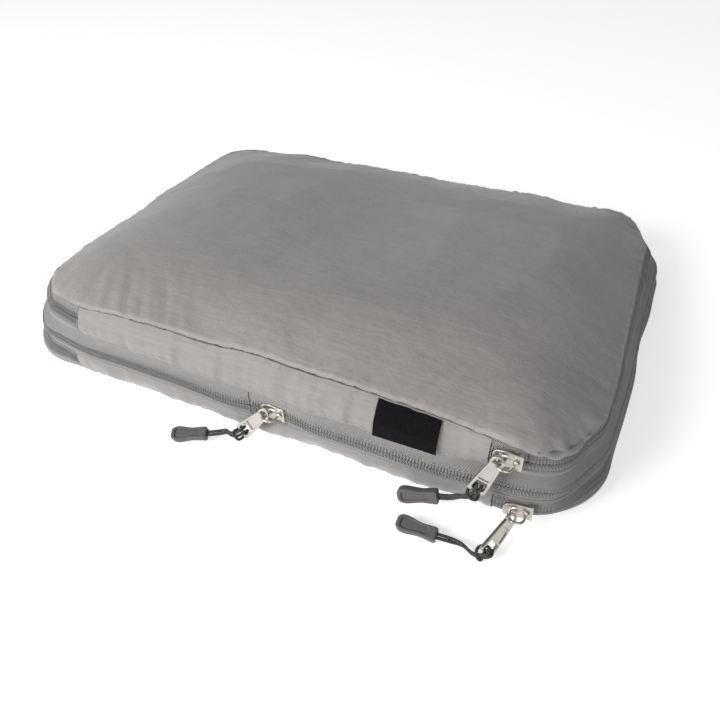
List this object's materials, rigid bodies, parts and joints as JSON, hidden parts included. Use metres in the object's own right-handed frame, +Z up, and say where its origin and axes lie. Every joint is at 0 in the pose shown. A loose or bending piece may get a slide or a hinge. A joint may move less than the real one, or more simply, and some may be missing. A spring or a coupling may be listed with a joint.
{
  "type": "packing cube",
  "caption": "Flat rectangular fabric travel case with rounded corners, a compartment on each side, three coil zips with corded pulls and an expanding middle band.",
  "frame": {"origin": "centre of the underside, on the surface the cube rests on", "axes": "+X along the length, -Y the front with the hinge side and the pulls, +Z up"},
  "size_m": [0.35, 0.2756, 0.0525],
  "materials": {
    "grey_nylon": "light crinkled nylon, satin sheen",
    "panel_nylon": "light crinkled nylon, satin sheen",
    "zip_tape": "twill tape",
    "zip_coil": "sewn nylon coil",
    "seam_binding": "folded cloth binding",
    "divider_cloth": "plain weave",
    "black_label": "fine black satin weave",
    "nickel": "satin nickel plate",
    "pull_cord": "braided cord",
    "grip_rubber": "matt moulded rubber"
  },
  "bodies": {
    "bottom_lid": {"bottom_panel": "panel_nylon", "lower_lid_tape": "zip_tape", "lower_lid_coil": "zip_coil", "bottom_binding": "seam_binding"},
    "lower_half": {"lower_spine": "grey_nylon", "lower_band_tape": "zip_tape", "lower_band_coil": "zip_coil", "lower_end_tape": "zip_tape", "middle_binding": "seam_binding", "divider": "divider_cloth", "compression_lower_tape": "zip_tape", "compression_lower_coil": "zip_coil", "expansion_gusset": "grey_nylon"},
    "upper_half": {"compression_upper_tape": "zip_tape", "compression_upper_coil": "zip_coil", "upper_binding": "seam_binding", "upper_spine": "grey_nylon", "upper_band_tape": "zip_tape", "upper_band_coil": "zip_coil", "upper_end_tape": "zip_tape", "side_label": "black_label"},
    "top_lid": {"top_panel": "panel_nylon", "upper_lid_tape": "zip_tape", "upper_lid_coil": "zip_coil", "top_binding": "seam_binding"},
    "upper_slider": {"upper_slider": "nickel"},
    "upper_puller": {"upper_puller": "nickel"},
    "upper_pull": {"upper_cord": "pull_cord", "upper_grip": "grip_rubber"},
    "compression_slider": {"compression_slider": "nickel"},
    "compression_puller": {"compression_puller": "nickel"},
    "compression_pull": {"compression_cord": "pull_cord", "compression_grip": "grip_rubber"},
    "lower_slider": {"lower_slider": "nickel"},
    "lower_puller": {"lower_puller": "nickel"},
    "lower_pull": {"lower_cord": "pull_cord", "lower_grip": "grip_rubber"}
  },
  "joints": [
    {"name": "lower_compartment_hinge", "type": "hinge", "parent": "bottom_lid", "child": "lower_half", "pos_m": [0, -0.1256, 0.00215], "axis": [1, 0, 0], "range_deg": [0, 90]},
    {"name": "compression_expansion", "type": "slide", "parent": "lower_half", "child": "upper_half", "axis": [0, 0, 1], "range_m": [0, 0.056], "deforming": ["expansion_gusset"]},
    {"name": "upper_lid_hinge", "type": "hinge", "parent": "upper_half", "child": "top_lid", "pos_m": [0, -0.126, 0.049], "axis": [1, 0, 0], "range_deg": [0, 120]},
    {"name": "upper_slider_travel", "type": "hinge", "parent": "upper_half", "child": "upper_slider", "pos_m": [0.13, -0.08, 0], "axis": [0, 0, 1], "range_deg": [0, 90]},
    {"name": "upper_puller_lift", "type": "hinge", "parent": "upper_slider", "child": "upper_puller", "pos_m": [0.12671, -0.12928, 0.043], "axis": [-0.9205, -0.0905, 0.3801], "range_deg": [0, 30]},
    {"name": "upper_cord_lift", "type": "hinge", "parent": "upper_puller", "child": "upper_pull", "pos_m": [0.12044, -0.13339, 0.02685], "axis": [-0.9205, -0.0905, 0.3801], "range_deg": [0, 60]},
    {"name": "compression_slider_travel", "type": "slide", "parent": "lower_half", "child": "compression_slider", "axis": [1, 0, 0], "range_m": [0, 0.065]},
    {"name": "compression_puller_lift", "type": "hinge", "parent": "compression_slider", "child": "compression_puller", "pos_m": [0.01221, -0.12928, 0.0241], "axis": [-0.7564, 0.2603, 0.6001], "range_deg": [0, 30]},
    {"name": "compression_cord_lift", "type": "hinge", "parent": "compression_puller", "child": "compression_pull", "pos_m": [0.00059, -0.13349, 0.01128], "axis": [-0.7564, 0.2603, 0.6001], "range_deg": [0, 60]},
    {"name": "lower_slider_travel", "type": "hinge", "parent": "lower_half", "child": "lower_slider", "pos_m": [0.13, -0.08, 0], "axis": [0, 0, 1], "range_deg": [0, 80]},
    {"name": "lower_puller_lift", "type": "hinge", "parent": "lower_slider", "child": "lower_puller", "pos_m": [0.13662, -0.13101, 0.0114], "axis": [-0.532, -0.1568, 0.8321], "range_deg": [0, 20]},
    {"name": "lower_cord_lift", "type": "hinge", "parent": "lower_puller", "child": "lower_pull", "pos_m": [0.13094, -0.14655, 0.00483], "axis": [-0.532, -0.1568, 0.8321], "range_deg": [0, 60]}
  ]
}
